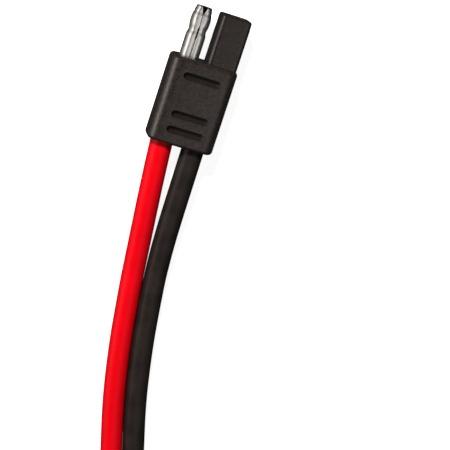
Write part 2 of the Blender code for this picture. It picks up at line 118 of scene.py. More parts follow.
# Terminals, rolled from sheet
PIN_RADIUS = 2.55
PIN_SHEET = 0.45
SOCKET_INNER_RADIUS = 2.6
SOCKET_SHEET = 0.4
SOCKET_TUBE_REAR_Y = 5.9
SOCKET_SHANK_FRONT_Y = 4.9
SOCKET_SHANK_RADIUS = 2.1
FIT = 0.03  # between a finished piece and what it sits in or lies on
BARREL_RADIUS = 2.2
BARREL_FRONT_Y = -1.5
BARREL_REAR_Y = -6.0
HALF_SECTION_POINTS = 44
SEAM_CROWDING = 1.7  # above 1, a section's points stand closer together at its seam

# Leads
LEAD_DIAMETER = 5.6
LEAD_LENGTH = 265.0
STRIPPED_LENGTH = 6.0
JACKET_RADIUS = LEAD_DIAMETER / 2 + 0.14  # the finished leads nearly fill the CAD's gap
CORE_DIAMETER = 2.9
JACKET_FRONT_Y = -6.8
LEAD_SIDES = 40
LEAD_STEP = 0.5
SPAN_POINTS = 24  # of the spline between two points of the route
SMOOTHING_PASSES = 60
JACKET_SWELL = 0.012
ON_FLOOR = LEAD_DIAMETER / 2 + 0.05
SIDE_BY_SIDE = (LEAD_DIAMETER + CLEARANCE) / 2
TIE_THICKNESS = 1.1
TIE_WIDTH = 3.6
TIE_Y = -125.5
TIE_GROOVE = 0.14
TIE_RIB = 0.02  # how far a rib stands out of the strap
TIE_STRAIGHT_STEPS = 60
TIE_HEAD_LENGTH = 5.4
TIE_HEAD_WIDTH = 5.0
TIE_HEAD_HEIGHT = 3.6
IN_TIE = ON_FLOOR + TIE_THICKNESS + CLEARANCE
STRAND_LAYERS = (1, 6, 12, 18)
STRAND_LAY = 24.0  # length in which a strand goes once round
STRAND_STEPS = 24  # lead steps that a strand is drawn for
LOOSE_FROM_STEP = 14

# Route of the line midway between the two leads, as x, y, z and half the leads' spacing.
ROUTE_GOES_X = 14.9
ROUTE_RETURNS_X = 26.7
ROUTE = (
    (0.0, -17.7, 5.3, CONTACT_PITCH / 2),
    (0.2, -22.5, 5.3, 4.05),
    (0.7, -31.0, 5.0, 3.7),
    (1.3, -39.0, 4.2, 3.35),
    (2.0, -47.0, 3.4, 3.08),
    (2.8, -55.0, 2.9, 2.97),
    (3.8, -63.0, ON_FLOOR, SIDE_BY_SIDE),
    (4.9, -71.0, ON_FLOOR, SIDE_BY_SIDE),
    (6.3, -79.0, ON_FLOOR, SIDE_BY_SIDE),
    (7.9, -87.0, ON_FLOOR, SIDE_BY_SIDE),
    (9.9, -95.0, ON_FLOOR, SIDE_BY_SIDE),
    (12.0, -102.5, ON_FLOOR, SIDE_BY_SIDE),
    (13.8, -110.0, ON_FLOOR, SIDE_BY_SIDE),
    (14.7, -116.5, 3.5, SIDE_BY_SIDE),
    (ROUTE_GOES_X, -122.0, IN_TIE, SIDE_BY_SIDE),
    (ROUTE_GOES_X, -129.0, IN_TIE, SIDE_BY_SIDE),
    (14.1, -134.6, 3.7, SIDE_BY_SIDE),
    (11.7, -139.8, 3.1, SIDE_BY_SIDE),
    (8.0, -144.1, ON_FLOOR, SIDE_BY_SIDE),
    (3.7, -149.2, ON_FLOOR, SIDE_BY_SIDE),
    (1.1, -157.4, ON_FLOOR, SIDE_BY_SIDE),
    (2.2, -165.9, ON_FLOOR, SIDE_BY_SIDE),
    (6.8, -173.1, ON_FLOOR, SIDE_BY_SIDE),
    (14.0, -177.7, ON_FLOOR, SIDE_BY_SIDE),
    (20.8, -178.9, ON_FLOOR, SIDE_BY_SIDE),
    (27.6, -177.7, ON_FLOOR, SIDE_BY_SIDE),
    (34.8, -173.1, ON_FLOOR, SIDE_BY_SIDE),
    (39.4, -165.9, ON_FLOOR, SIDE_BY_SIDE),
    (40.5, -157.4, ON_FLOOR, SIDE_BY_SIDE),
    (37.9, -149.2, ON_FLOOR, SIDE_BY_SIDE),
    (33.6, -144.1, ON_FLOOR, SIDE_BY_SIDE),
    (29.9, -139.8, 3.1, SIDE_BY_SIDE),
    (27.5, -134.6, 3.7, SIDE_BY_SIDE),
    (ROUTE_RETURNS_X, -129.0, IN_TIE, SIDE_BY_SIDE),
    (ROUTE_RETURNS_X, -122.0, IN_TIE, SIDE_BY_SIDE),
    (27.6, -115.6, 3.5, SIDE_BY_SIDE),
    (30.2, -109.6, ON_FLOOR, SIDE_BY_SIDE),
    (35.0, -104.6, ON_FLOOR, SIDE_BY_SIDE),
    (41.0, -101.6, ON_FLOOR, SIDE_BY_SIDE),
)


# ---------------------------------------------------------------- mesh helpers


def finished(bm, name, material, sharp_degrees=38.0):
    """An object in metres from a bmesh in millimetres, smooth but for its sharp edges."""
    bmesh.ops.recalc_face_normals(bm, faces=bm.faces)
    mesh = bpy.data.meshes.new(name)
    bm.to_mesh(mesh)
    bm.free()
    mesh.transform(Matrix.Scale(MM, 4))
    mesh.shade_smooth()
    mesh.set_sharp_from_angle(angle=math.radians(sharp_degrees))
    if material is not None:
        mesh.materials.append(material)
    piece = bpy.data.objects.new(name, mesh)
    bpy.context.scene.collection.objects.link(piece)
    return piece


def weighted_normals(piece):
    """Flat faces stay flat, and the bevels beside them carry the turn of the shading."""
    modifier = piece.modifiers.new("weighted_normals", "WEIGHTED_NORMAL")
    modifier.keep_sharp = True
    return piece


def rounded_block(low, high, side_radius, end_radius, side_steps=10, end_steps=6):
    """A bmesh block whose edges along Y have side_radius and whose two ends have end_radius."""
    bm = bmesh.new()
    bmesh.ops.create_cube(bm, size=1)
    size, centre = Vector(high) - Vector(low), (Vector(high) + Vector(low)) / 2
    bmesh.ops.scale(bm, vec=size, verts=bm.verts)
    half = size.y / 2
    along = [e for e in bm.edges if abs(e.verts[0].co.y - e.verts[1].co.y) > half]
    bmesh.ops.bevel(
        bm, geom=along, offset=side_radius, segments=side_steps, profile=0.5, affect="EDGES"
    )
    if end_radius:
        bm.normal_update()
        rims = [e for e in bm.edges if any(abs(f.normal.y) > 0.99 for f in e.link_faces)]
        bmesh.ops.bevel(
            bm, geom=rims, offset=end_radius, segments=end_steps, profile=0.5, affect="EDGES"
        )
    bmesh.ops.translate(bm, vec=centre, verts=bm.verts)
    return bm


def plain_object(bm, name):
    """A helper object in millimetres, for Booleans."""
    bmesh.ops.recalc_face_normals(bm, faces=bm.faces)
    mesh = bpy.data.meshes.new(name)
    bm.to_mesh(mesh)
    bm.free()
    helper = bpy.data.objects.new(name, mesh)
    bpy.context.scene.collection.objects.link(helper)
    return helper


def carved(base, joined, cut):
    """The base bmesh with some bmeshes joined to it and others cut from it, as a new bmesh."""
    body = plain_object(base, "body")
    helpers = [body]
    for operation, tools in (("UNION", joined), ("DIFFERENCE", cut)):
        for tool in tools:
            helper = plain_object(tool, "tool")
            helpers.append(helper)
            boolean = body.modifiers.new("boolean", "BOOLEAN")
            boolean.operation = operation
            boolean.solver = "EXACT"
            boolean.object = helper
    bpy.context.view_layer.update()
    evaluated = body.evaluated_get(bpy.context.evaluated_depsgraph_get())
    mesh = bpy.data.meshes.new_from_object(evaluated)
    bm = bmesh.new()
    bm.from_mesh(mesh)
    bpy.data.meshes.remove(mesh)
    for helper in helpers:
        spent = helper.data
        bpy.data.objects.remove(helper, do_unlink=True)
        bpy.data.meshes.remove(spent)
    bmesh.ops.remove_doubles(bm, verts=bm.verts, dist=0.0005)
    return bm


def join_in(bm, extra):
    """Adds a second bmesh to the first as a body of its own."""
    mesh = bpy.data.meshes.new("extra")
    extra.to_mesh(mesh)
    extra.free()
    bm.from_mesh(mesh)
    bpy.data.meshes.remove(mesh)


def soften(bm, radius, steps=3, angle_degrees=50.0):
    """Rounds every edge that is sharper than the angle."""
    limit = math.radians(angle_degrees)
    flat = [e for e in bm.edges if len(e.link_faces) == 2 and e.calc_face_angle(0) < 0.0005]
    bmesh.ops.dissolve_edges(bm, edges=flat, use_verts=False, use_face_split=False)
    sharp = [e for e in bm.edges if len(e.link_faces) == 2 and e.calc_face_angle(0) > limit]
    bmesh.ops.bevel(
        bm,
        geom=sharp,
        offset=radius,
        segments=steps,
        profile=0.5,
        affect="EDGES",
        clamp_overlap=True,
    )


def sliced(bm, step):
    """Cuts the faces along a grid of planes, so that a large flat face can take a gentle curve.

    The planes stand slightly off the even grid, so that none runs along an edge of the piece.
    """
    low = Vector([min(v.co[k] for v in bm.verts) for k in range(3)])
    high = Vector([max(v.co[k] for v in bm.verts) for k in range(3)])
    for axis in range(3):
        count = max(1, round((high[axis] - low[axis]) / step))
        normal = Vector([float(k == axis) for k in range(3)])
        for i in range(1, count):
            off_grid = 0.013
            at = low.lerp(high, (i + off_grid) / count)
            geometry = bm.verts[:] + bm.edges[:] + bm.faces[:]
            bmesh.ops.bisect_plane(bm, geom=geometry, dist=0.0001, plane_co=at, plane_no=normal)


def stadium(half_run, radius, steps=14):
    """Points round a stadium whose two straight sides are 2 * half_run long."""
    points = []
    for centre, start in ((half_run, -math.pi / 2), (-half_run, math.pi / 2)):
        for i in range(steps + 1):
            angle = start + math.pi * i / steps
            points.append((centre + radius * math.cos(angle), radius * math.sin(angle)))
    return points


def lofted(rings, cap_front=True, cap_back=True):
    """A bmesh skin through closed rings that all have the same number of points."""
    bm = bmesh.new()
    rows = [[bm.verts.new(point) for point in ring] for ring in rings]
    count = len(rows[0])
    for a, b in zip(rows, rows[1:]):
        for i in range(count):
            j = (i + 1) % count
            bm.faces.new((a[i], a[j], b[j], b[i]))
    if cap_front:
        bm.faces.new(reversed(rows[0]))
    if cap_back:
        bm.faces.new(rows[-1])
    return bm


def turned(profile, x, z, sides=64):
    """A bmesh solid turned about the axis along Y at x and z, from (y, radius) points."""
    rings = []
    for y, radius in profile:
        angles = [math.tau * i / sides for i in range(sides)]
        rings.append([(x + radius * math.cos(a), y, z + radius * math.sin(a)) for a in angles])
    return lofted(rings)


def eased_rim(radius, edge):
    """A hole's rounded rim as (height, radius) points, from above the face down to the wall."""
    turns = [math.radians(15 * i) for i in range(1, 7)]
    rim = [(edge * (math.cos(t) - 1), radius + edge * (1 - math.sin(t))) for t in turns]
    height, reach = rim[0]
    above = (height + math.sin(turns[0]), reach + math.cos(turns[0]))
    return [above, *rim]


# ---------------------------------------------------------------- pieces


def slot_cutter(y, face_z, outward):
    """A bmesh that cuts a slot with steep walls and a rounded bottom into a broad face."""
    half_run, radius = (SLOT_LENGTH - SLOT_WIDTH) / 2, SLOT_WIDTH / 2
    profile = eased_rim(radius, SLOT_EDGE)
    steps = 8
    for i in range(steps - 1, 0, -1):
        turn = math.pi / 2 * i / steps
        height = -SLOT_EDGE - (SLOT_DEPTH - SLOT_EDGE) * math.cos(turn) ** SLOT_SQUARENESS
        profile.append((height, radius * math.sin(turn) ** SLOT_SQUARENESS))
    rings = []
    for height, reach in profile:
        outline = stadium(half_run, reach, 18)
        rings.append([(px, y + py, face_z + outward * height) for px, py in outline])
    return lofted(rings)


def sunk_in_slot(x, y, depth):
    """How far a point of a broad face is down in a slot: 0 at the face, 1 at mid-depth or more.

    Here y counts from the block's front and depth counts from the face.
    """
    past_run = max(0.0, abs(x) - (SLOT_LENGTH - SLOT_WIDTH) / 2)
    if depth > SLOT_DEPTH + 2 * GRIP_CROWN:
        return 0.0
    for distance in SLOTS_FROM_FRONT:
        if math.hypot(past_run, y + distance) < SLOT_WIDTH / 2 + 0.02:
            return min(1.0, 2 * depth / SLOT_DEPTH)
    return 0.0


def grip_piece(material):
    """The soft block: rounded, slightly crowned, with its slots, bores and pocket.

    Its "sunk" layer marks the slots, which are painted darker as shade and made duller than the
    faces.
    """
    low, high = (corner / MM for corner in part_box("grip_overmould"))
    middle = (low + high) / 2
    tower_low, tower_high = tower_box()
    holes = [
        rounded_block(
            (-CARRIER_WIDTH / 2, CARRIER_REAR_Y, middle.z - CARRIER_HEIGHT / 2),
            (CARRIER_WIDTH / 2, CARRIER_FRONT_Y, middle.z + CARRIER_HEIGHT / 2),
            CARRIER_RADIUS,
            0,
        ),
        rounded_block(
            (tower_low.x - FIT, high.y - TOWER_SINK, tower_low.z - FIT),
            (tower_high.x + FIT, high.y + 2, tower_high.z + FIT),
            TOWER_RADIUS + FIT,
            0,
        ),
    ]
    pin_hole = [(CARRIER_FRONT_Y - 1, PIN_RADIUS + FIT), (high.y + 1, PIN_RADIUS + FIT)]
    holes.append(turned(pin_hole, -CONTACT_PITCH / 2, middle.z))
    bore = [(low.y - 1, JACKET_RADIUS + FIT), (CARRIER_REAR_Y + 1, JACKET_RADIUS + FIT)]
    for side in (-1, 1):
        holes.append(turned(bore, side * CONTACT_PITCH / 2, middle.z))
    for face_z, outward in ((low.z, -1), (high.z, 1)):
        for distance in SLOTS_FROM_FRONT:
            holes.append(slot_cutter(high.y - distance, face_z, outward))
    block = rounded_block(low, high, GRIP_SIDE_RADIUS, GRIP_END_RADIUS)
    bm = carved(block, [], holes)
    sliced(bm, GRIP_GRID)
    half_width = (high.x - low.x) / 2
    sunk = bm.verts.layers.float.new("sunk")
    for vertex in bm.verts:
        x, y, z = vertex.co
        depth = (high.z - low.z) / 2 - abs(z - middle.z)
        # the slot mask, which the plastic turns into painted shade and a duller finish
        vertex[sunk] = sunk_in_slot(x, y - high.y, depth)
        up = abs(z - middle.z) / (high.z - middle.z)
        share = max(0.0, up - CROWN_STARTS) / (1 - CROWN_STARTS)
        wave = GRIP_WAVE * (1 - noise.noise(Vector((x, y, z)) / GRIP_WAVE_LENGTH))
        inward = (GRIP_CROWN * (x / half_width) ** 2 + wave) * share
        vertex.co.z -= inward if z > middle.z else -inward
    piece = weighted_normals(finished(bm, "grip", material))
    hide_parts("grip_overmould")
    return piece


def carrier_axis_z():
    """Height of the two terminals' axes, in millimetres."""
    low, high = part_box("contact_carrier")
    return (low.z + high.z) / 2 / MM


def tower_box():
    """Lowest and highest corner of the tower, in millimetres."""
    tip = (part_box("contact_carrier")[1] / MM).y
    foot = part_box("grip_overmould")[1].y / MM - TOWER_SINK
    left, right = CONTACT_PITCH / 2 - TOWER_WIDTH / 2, CONTACT_PITCH / 2 + TOWER_WIDTH / 2
    axis_z = carrier_axis_z()
    low = Vector((left, foot, axis_z - TOWER_HEIGHT / 2))
    return low, Vector((right, tip, axis_z + TOWER_HEIGHT / 2))


def tower_piece(material):
    """The hard inner moulding: a bar round the terminals and the tower round the socket."""
    axis_z = carrier_axis_z()
    low, high = tower_box()
    bar = rounded_block(
        (-CARRIER_WIDTH / 2, CARRIER_REAR_Y, axis_z - CARRIER_HEIGHT / 2),
        (CARRIER_WIDTH / 2, CARRIER_FRONT_Y, axis_z + CARRIER_HEIGHT / 2),
        CARRIER_RADIUS,
        0,
    )
    neck_half = NECK_SIDE / 2
    neck = rounded_block(
        (CONTACT_PITCH / 2 - neck_half, CARRIER_FRONT_Y - 1, axis_z - neck_half),
        (CONTACT_PITCH / 2 + neck_half, low.y + 1, axis_z + neck_half),
        CARRIER_RADIUS,
        0,
    )
    tower = rounded_block(low, high, TOWER_RADIUS, TOWER_END_RADIUS)
    barrel = BARREL_RADIUS + FIT
    socket_outside = SOCKET_INNER_RADIUS + SOCKET_SHEET + FIT
    mouth = high.y - MOUTH_DEPTH
    bore_narrows_y = 5.8
    socket_bore = [
        *((high.y + height, reach) for height, reach in eased_rim(MOUTH_RADIUS, MOUTH_EDGE)),
        (mouth, MOUTH_RADIUS),
        (mouth, socket_outside),
        (bore_narrows_y, socket_outside),
        (bore_narrows_y - 1.0, barrel),
        (CARRIER_REAR_Y - 1, barrel),
    ]
    pin_bore = [
        (CARRIER_FRONT_Y + 0.5, PIN_RADIUS + FIT),
        (-FIT, PIN_RADIUS + FIT),
        (BARREL_FRONT_Y, barrel),
        (CARRIER_REAR_Y - 1, barrel),
    ]
    cuts = [
        turned(socket_bore, CONTACT_PITCH / 2, axis_z),
        turned(pin_bore, -CONTACT_PITCH / 2, axis_z),
    ]
    bm = carved(bar, [neck, tower], cuts)
    piece = weighted_normals(finished(bm, "socket_tower", material))
    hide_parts("contact_carrier")
    return piece


def blend(table, at):
    """A value from a table of (place, value) rows, with eased steps between them."""
    if at <= table[0][0]:
        return table[0][1]
    for (a, p), (b, q) in zip(table, table[1:]):
        if at <= b:
            t = (at - a) / (b - a)
            return p + (q - p) * t * t * (3 - 2 * t)
    return table[-1][1]


def rolled_section(radius, sheet, gap, valley, valley_width, lip):
    """A closed C-shaped outline of (x, z) points, open at the top, for sheet rolled to a tube.

    The sheet dips by valley towards its two edges, which are gap apart and rounded by lip.
    """
    start = math.asin(min(0.9, gap / 2 / radius))
    half = []
    for i in range(HALF_SECTION_POINTS + 1):
        angle = start + (math.pi - start) * (i / HALF_SECTION_POINTS) ** SEAM_CROWDING
        reach = radius - valley * math.exp(-((angle / valley_width) ** 2))
        from_edge = (angle - start) * radius
        if from_edge < lip:
            reach -= lip - math.sqrt(max(0.0, lip * lip - (lip - from_edge) ** 2))
        half.append((angle, reach))
    outer = [(r * math.sin(a), r * math.cos(a)) for a, r in half]
    outer += [(-x, z) for x, z in reversed(outer[:-1])]
    inner = []
    for a, r in half:
        smooth = radius - valley * math.exp(-((a / valley_width) ** 2)) - sheet
        inner.append((smooth * math.sin(a), smooth * math.cos(a)))
    inner += [(-x, z) for x, z in reversed(inner[:-1])]
    return outer, inner


def rolled_tube(stations, x, z):
    """A bmesh through rolled_section outlines: each station is y and that outline's values.

    Its "inside" layer is 1 on the sheet's inner face, which keeps the dull colour of the tube's
    bore.
    """
    bm = bmesh.new()
    inside = bm.verts.layers.float.new("inside")
    rows = []
    for y, values in stations:
        outer, inner = rolled_section(*values)
        row = [bm.verts.new((x + px, y, z + pz)) for px, pz in outer + list(reversed(inner))]
        for vertex in row[len(outer) :]:
            vertex[inside] = 1.0
        rows.append(row)
    count = len(rows[0])
    for a, b in zip(rows, rows[1:]):
        for i in range(count):
            j = (i + 1) % count
            bm.faces.new((a[i], a[j], b[j], b[i]))
    half = count // 2
    for row, turn in ((rows[0], False), (rows[-1], True)):
        for i in range(half - 1):
            face = (row[i], row[i + 1], row[count - 2 - i], row[count - 1 - i])
            bm.faces.new(tuple(reversed(face)) if turn else face)
    return bm


def steps_between(first, last, step):
    """Even places from first to last, about a step apart."""
    count = max(1, round(abs(last - first) / step))
    return [first + (last - first) * i / count for i in range(count + 1)]


def pin_piece(material):
    """The bullet pin: rolled sheet with a locking neck, a notched tip and a crimp barrel.

    Each table gives one of rolled_section's values by the distance from the tip.
    """
    low, high = (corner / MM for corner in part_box("pin_terminal"))
    axis_x, axis_z = -CONTACT_PITCH / 2, (low.z + high.z) / 2
    tip = high.y
    shoulder = tip - BARREL_FRONT_Y - 1.5
    radius = [
        (0.0, PIN_RADIUS - 0.62),
        (0.25, PIN_RADIUS - 0.5),
        (1.4, PIN_RADIUS - 0.3),
        (2.6, PIN_RADIUS - 0.06),
        (3.4, PIN_RADIUS),
        (4.5, PIN_RADIUS - 0.02),
        (6.3, PIN_RADIUS - 0.28),
        (7.6, PIN_RADIUS - 0.02),
        (8.4, PIN_RADIUS),
        (shoulder, PIN_RADIUS),
        (shoulder + 1.5, BARREL_RADIUS),
    ]
    gap = [(0.0, 1.5), (1.0, 0.9), (2.1, 0.1), (5.3, 0.08), (5.9, 0.4), (8.0, 0.4), (8.6, 0.08)]
    valley = [(0.0, 0.1), (1.5, 0.45), (3.0, 0.4), (5.0, 0.18), (6.5, 0.2), (8.4, 0.42), (14, 0.42)]
    width = [(0.0, 0.35), (2.5, 0.42), (5.0, 0.3), (8.0, 0.3), (14.0, 0.3)]
    lip = [(0.0, 0.1), (2.0, 0.2), (8.0, 0.2), (10.0, 0.3)]
    places = steps_between(0.0, 0.3, 0.05) + steps_between(0.45, 15.0, 0.15)
    places += steps_between(15.4, tip - BARREL_REAR_Y, 0.5)
    stations = []
    for at in places:
        values = [blend(table, at) for table in (radius, gap, valley, width, lip)]
        sheet = PIN_SHEET - 0.2 * max(0.0, 1 - at / 0.2)
        stations.append((tip - at, (values[0], sheet, *values[1:])))
    bm = rolled_tube(stations, axis_x, axis_z)
    piece = finished(bm, "pin", material, 45.0)
    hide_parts("pin_terminal")
    return piece


def socket_piece(material):
    """The socket: a rolled spring tube with an open seam, a shank and a crimp barrel."""
    low, high = (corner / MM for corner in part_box("socket_terminal"))
    axis_x, axis_z = CONTACT_PITCH / 2, (low.z + high.z) / 2
    outer = SOCKET_INNER_RADIUS + SOCKET_SHEET
    tip = high.y
    tube_rear, shank_front = tip - SOCKET_TUBE_REAR_Y, tip - SOCKET_SHANK_FRONT_Y
    barrel_front = tip - BARREL_FRONT_Y
    radius = [
        (0.0, outer - 0.1),
        (0.15, outer),
        (tube_rear, outer),
        (shank_front, SOCKET_SHANK_RADIUS),
        (barrel_front - 0.5, SOCKET_SHANK_RADIUS),
        (barrel_front, BARREL_RADIUS),
    ]
    gap = [(0.0, 0.6), (tube_rear, 0.5), (shank_front, 0.1)]
    places = steps_between(0.0, 0.3, 0.05) + steps_between(0.6, tip - BARREL_REAR_Y, 0.4)
    stations = []
    for at in places:
        values = (blend(radius, at), SOCKET_SHEET, blend(gap, at), 0.0, 1.0, 0.08)
        stations.append((tip - at, values))
    bm = rolled_tube(stations, axis_x, axis_z)
    piece = finished(bm, "socket", material, 45.0)
    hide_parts("socket_terminal")
    return piece


# ---------------------------------------------------------------- leads


def spline_point(before, start, end, after, t):
    """A point on the centripetal Catmull-Rom span from start to end."""
    knots = [0.0]
    for a, b in ((before, start), (start, end), (end, after)):
        knots.append(knots[-1] + math.dist(a[:3], b[:3]) ** 0.5)
    k0, k1, k2, k3 = knots
    at = k1 + t * (k2 - k1)

    def between(p, q, low, high):
        share = (at - low) / (high - low)
        return tuple(u + share * (v - u) for u, v in zip(p, q))

    first = between(before, start, k0, k1)
    second = between(start, end, k1, k2)
    third = between(end, after, k2, k3)
    return between(between(first, second, k0, k2), between(second, third, k1, k3), k1, k2)


def evenly(points, step):
    """The same line with points a step apart."""
    out, to_next = [points[0]], step
    for a, b in zip(points, points[1:]):
        span = math.dist(a[:3], b[:3])
        walked = 0.0
        while span - walked >= to_next:
            walked += to_next
            share = walked / span
            out.append(tuple(u + share * (v - u) for u, v in zip(a, b)))
            to_next = step
        to_next -= span - walked
    return out


def smooth_route():
    """Points along the route, with the spline's changes of bend spread over a few millimetres."""
    in_grip = (ROUTE[0][0], ROUTE[0][1] + 5.0, *ROUTE[0][2:])
    past_end = tuple(2 * a - b for a, b in zip(ROUTE[-1], ROUTE[-2]))
    guides = [in_grip, *ROUTE, past_end]
    fine = []
    for i in range(1, len(guides) - 2):
        shares = [k / SPAN_POINTS for k in range(SPAN_POINTS)]
        fine += [spline_point(*guides[i - 1 : i + 3], share) for share in shares]
    fine.append(ROUTE[-1])
    line = evenly(fine, LEAD_STEP)
    for _ in range(SMOOTHING_PASSES):
        inner = [
            tuple(0.25 * a + 0.5 * b + 0.25 * c for a, b, c in zip(*line[i - 1 : i + 2]))
            for i in range(1, len(line) - 1)
        ]
        line = [line[0], *inner, line[-1]]
    return [(x, y, max(z, JACKET_RADIUS + FIT), half) for x, y, z, half in line]


def lead_line(side, front_y, length):
    """A lead's centre line: straight back from front_y, then length from the rear face on."""
    route = smooth_route()
    line = []
    for i, (x, y, z, half) in enumerate(route):
        ahead, behind = route[min(i + 1, len(route) - 1)], route[max(i - 1, 0)]
        along = Vector((ahead[0] - behind[0], ahead[1] - behind[1]))
        if i == 0:
            along = Vector((0.0, -1.0))
        along.normalize()
        line.append(Vector((x - along.y * half * side, y + along.x * half * side, z)))
    cut, walked = [line[0]], 0.0
    for a, b in zip(line, line[1:]):
        span = (b - a).length
        if walked + span >= length:
            cut.append(a.lerp(b, (length - walked) / span))
            break
        walked += span
        cut.append(b)
    start = cut[0]
    count = round((front_y - start.y) / LEAD_STEP)
    inside = [start + Vector((0, (front_y - start.y) * i / count, 0)) for i in range(count, 0, -1)]
    return inside + cut


def frames_along(line):
    """For each point its centre, its direction and two directions across it."""
    out = []
    for i, centre in enumerate(line):
        along = (line[min(i + 1, len(line) - 1)] - line[max(i - 1, 0)]).normalized()
        across = along.cross(Vector((0, 0, 1))).normalized()
        out.append((centre, along, across, across.cross(along)))
    return out


def ring(frame, radius, sides, shift=0.0):
    """Points round one of frames_along's frames, shifted along the line."""
    centre, along, across, up = frame
    points = []
    for k in range(sides):
        angle = math.tau * k / sides
        out = across * math.cos(angle) + up * math.sin(angle)
        points.append(centre + along * shift + out * radius)
    return points


def jacket_piece(colour, side, material):
    """The lead's jacket: a round tube with a cut end and the bore that the strands come out of."""
    line = lead_line(side, JACKET_FRONT_Y, LEAD_LENGTH - STRIPPED_LENGTH)
    frames = frames_along(line)
    bore, edge, edge_steps = CORE_DIAMETER / 2 + 0.05, 0.25, 4
    rings, along = [], []
    walked = 0.0
    for i, frame in enumerate(frames):
        if i:
            walked += (line[i] - line[i - 1]).length
        swell = JACKET_SWELL * noise.noise(Vector((walked / 9.0, side * 3.0, 0.0)))
        rings.append(ring(frame, JACKET_RADIUS + swell, LEAD_SIDES))
        along.append(walked)
    end = []
    for i in range(1, edge_steps + 1):
        turn = math.pi / 2 * i / edge_steps
        end.append((JACKET_RADIUS - edge * (1 - math.cos(turn)), edge * math.sin(turn)))
    end += [(bore + 0.12, edge), (bore, edge - 0.1), (bore, -5.0)]
    for reach, shift in end:
        rings.append(ring(frames[-1], reach, LEAD_SIDES, shift))
        along.append(walked + shift)
    bm = lofted(rings)
    bm.verts.ensure_lookup_table()
    lengthways = bm.verts.layers.float.new("along")
    roundways = bm.verts.layers.float_vector.new("around")
    for i, vertex in enumerate(bm.verts):
        vertex[lengthways] = along[i // LEAD_SIDES] * MM
        angle = math.tau * (i % LEAD_SIDES) / LEAD_SIDES
        vertex[roundways] = (math.cos(angle), math.sin(angle), 0.0)
    piece = finished(bm, f"{colour}_lead", material, 50.0)
    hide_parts(f"{colour}_jacket")
    return piece, [point * MM for point in line]


def strands_piece(colour, side, material):
    """The bare end: twisted strands in rings round a middle one, a little loose at the tip."""
    line = lead_line(side, JACKET_FRONT_Y, LEAD_LENGTH)
    frames = frames_along(line)[-STRAND_STEPS:]
    draw = random.Random(side + 5)
    strand_radius = CORE_DIAMETER / (2 * (2 * len(STRAND_LAYERS) - 1))
    bm = bmesh.new()
    for layer, count in enumerate(STRAND_LAYERS):
        for k in range(count):
            start = math.tau * (k + 0.5 * (layer % 2)) / count
            reach = 2 * strand_radius * layer
            short = draw.uniform(0.0, 0.35)
            splay = draw.uniform(0.0, 0.28)
            rings = []
            walked = 0.0
            for i, (centre, along, across, up) in enumerate(frames):
                if i:
                    walked += (centre - frames[i - 1][0]).length
                loose = max(0.0, (i - LOOSE_FROM_STEP) / (STRAND_STEPS - 1 - LOOSE_FROM_STEP)) ** 2
                angle = start + math.tau * walked / STRAND_LAY
                out = across * math.cos(angle) + up * math.sin(angle)
                place = centre + out * reach * (1 + splay * loose)
                if i == len(frames) - 1:
                    place -= along * short
                rings.append(ring((place, along, across, up), strand_radius, 8))
            join_in(bm, lofted(rings))
    piece = finished(bm, f"{colour}_strands", material, 50.0)
    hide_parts(f"{colour}_conductor")
    return piece


def tie_path(half_run, reach):
    """Points round the bundle, close together on its two straight sides as well."""
    path = stadium(half_run, reach, 24)
    dense = []
    for i, point in enumerate(path):
        after = path[(i + 1) % len(path)]
        dense.append(point)
        if math.dist(point, after) > 2:
            for k in range(1, TIE_STRAIGHT_STEPS):
                between = (a + (b - a) * k / TIE_STRAIGHT_STEPS for a, b in zip(point, after))
                dense.append(tuple(between))
    return dense


def tie_section(groove):
    """The strap's outline as (reach, width) points, with a groove along its outer side."""
    inner, outer, edge = -TIE_THICKNESS / 2, TIE_THICKNESS / 2, -TIE_WIDTH / 2
    half = [
        (inner, edge + 0.2),
        (inner + 0.2, edge),
        (outer - 0.3, edge),
        (outer, edge + 0.3),
        (outer, -1.0),
        (outer - groove, -0.9),
    ]
    return half + [(reach, -width) for reach, width in reversed(half)]


def tie_strap(middle_x, axis_z, path):
    """A bmesh strap along the path, with a rib across its groove at every third point."""
    rings = []
    for i, point in enumerate(path):
        ahead, behind = Vector(path[(i + 1) % len(path)]), Vector(path[i - 1])
        along = (ahead - behind).normalized()
        out = Vector((along.y, -along.x))
        ring_points = []
        for reach, width in tie_section(TIE_GROOVE if i % 3 else -TIE_RIB):
            spot = Vector(point) + out * reach
            ring_points.append((middle_x + spot.x, TIE_Y + width, axis_z + spot.y))
        rings.append(ring_points)
    strap = lofted([*rings, rings[0]], False, False)
    bmesh.ops.remove_doubles(strap, verts=strap.verts, dist=0.001)
    return strap


